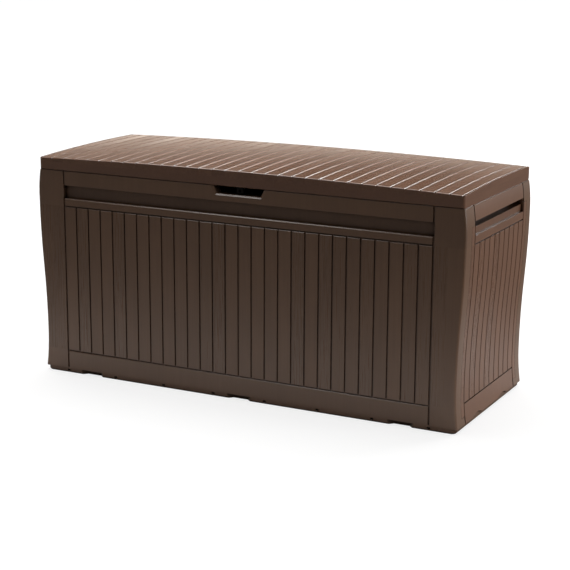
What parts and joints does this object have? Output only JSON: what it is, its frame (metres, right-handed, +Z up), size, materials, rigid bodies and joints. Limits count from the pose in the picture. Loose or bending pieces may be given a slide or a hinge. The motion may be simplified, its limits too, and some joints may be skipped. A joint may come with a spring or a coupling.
{
  "type": "deck storage box",
  "caption": "Slatted resin deck storage box with bowed end walls, hand grips in the ends, a front finger notch and a crowned slatted lid hinged along the back.",
  "frame": {"origin": "on the ground, under the middle of the box", "axes": "+X along the width, -Y out of the front, +Z up"},
  "size_m": [1.167, 0.447, 0.5765],
  "materials": {
    "resin_body": "satin moulded resin with a fine wood-like grain",
    "resin_lid": "satin moulded resin with a fine wood-like grain",
    "resin_dark": "satin",
    "screw_steel": "zinc plated"
  },
  "bodies": {
    "box": {"base_tray": "resin_body", "front_panel": "resin_body", "back_panel": "resin_body", "left_end_panel": "resin_body", "right_end_panel": "resin_body", "padlock_eye": "resin_dark", "hinge_pin_far_left": "resin_dark", "hinge_pin_near_left": "resin_dark", "hinge_pin_near_right": "resin_dark", "hinge_pin_far_right": "resin_dark"},
    "lid": {"lid": "resin_lid", "lid_rib_frame": "resin_lid", "rib_frame_screws": "screw_steel", "lid_hasp": "resin_dark"}
  },
  "joints": [
    {"name": "lid_hinge", "type": "hinge", "parent": "box", "child": "lid", "pos_m": [0, 0.2155, 0.542], "axis": [-1, 0, 0], "range_deg": [0, 95]}
  ]
}
